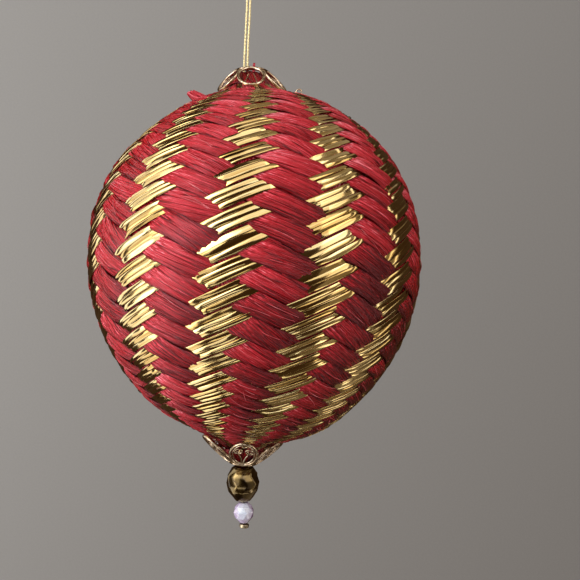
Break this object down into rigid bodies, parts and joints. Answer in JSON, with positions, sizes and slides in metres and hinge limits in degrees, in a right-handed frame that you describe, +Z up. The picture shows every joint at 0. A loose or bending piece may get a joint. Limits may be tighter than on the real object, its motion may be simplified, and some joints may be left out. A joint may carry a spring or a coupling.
{
  "type": "christmas ornament",
  "caption": "Hanging ball woven from glossy red straw and gold foil ribbon, with filigree bead caps, a bead drop below and a metallic thread loop above.",
  "frame": {"origin": "the inside top of the thread loop, where a hook or a twig bears", "axes": "+Z up through both caps, +X to the right and +Y away from the viewer, as the picture shows the ball"},
  "size_m": [0.0646, 0.0646, 0.1132],
  "materials": {
    "red_straw": "satin rayon straw with fine lengthwise fibres",
    "gold_foil": "creased metallised foil ribbon",
    "gilt_wire": "polished gilt filigree wire",
    "bronze_glass": "mirror-coated faceted glass",
    "pearl_glass": "pearl-lustred faceted glass",
    "pin_metal": "plain wire pin",
    "metallic_thread": "champagne metallic thread"
  },
  "bodies": {
    "root": {"straw_ball": "red_straw", "gold_ribbon_01": "gold_foil", "gold_ribbon_02": "gold_foil", "gold_ribbon_03": "gold_foil", "gold_ribbon_04": "gold_foil", "gold_ribbon_05": "gold_foil", "gold_ribbon_06": "gold_foil", "gold_ribbon_07": "gold_foil", "gold_ribbon_08": "gold_foil", "gold_ribbon_09": "gold_foil", "gold_ribbon_10": "gold_foil", "gold_ribbon_11": "gold_foil", "gold_ribbon_12": "gold_foil", "top_cap": "gilt_wire", "bottom_cap": "gilt_wire", "bronze_bead": "bronze_glass", "pearl_bead": "pearl_glass", "head_pin": "pin_metal", "hanging_cord": "metallic_thread"}
  },
  "joints": []
}
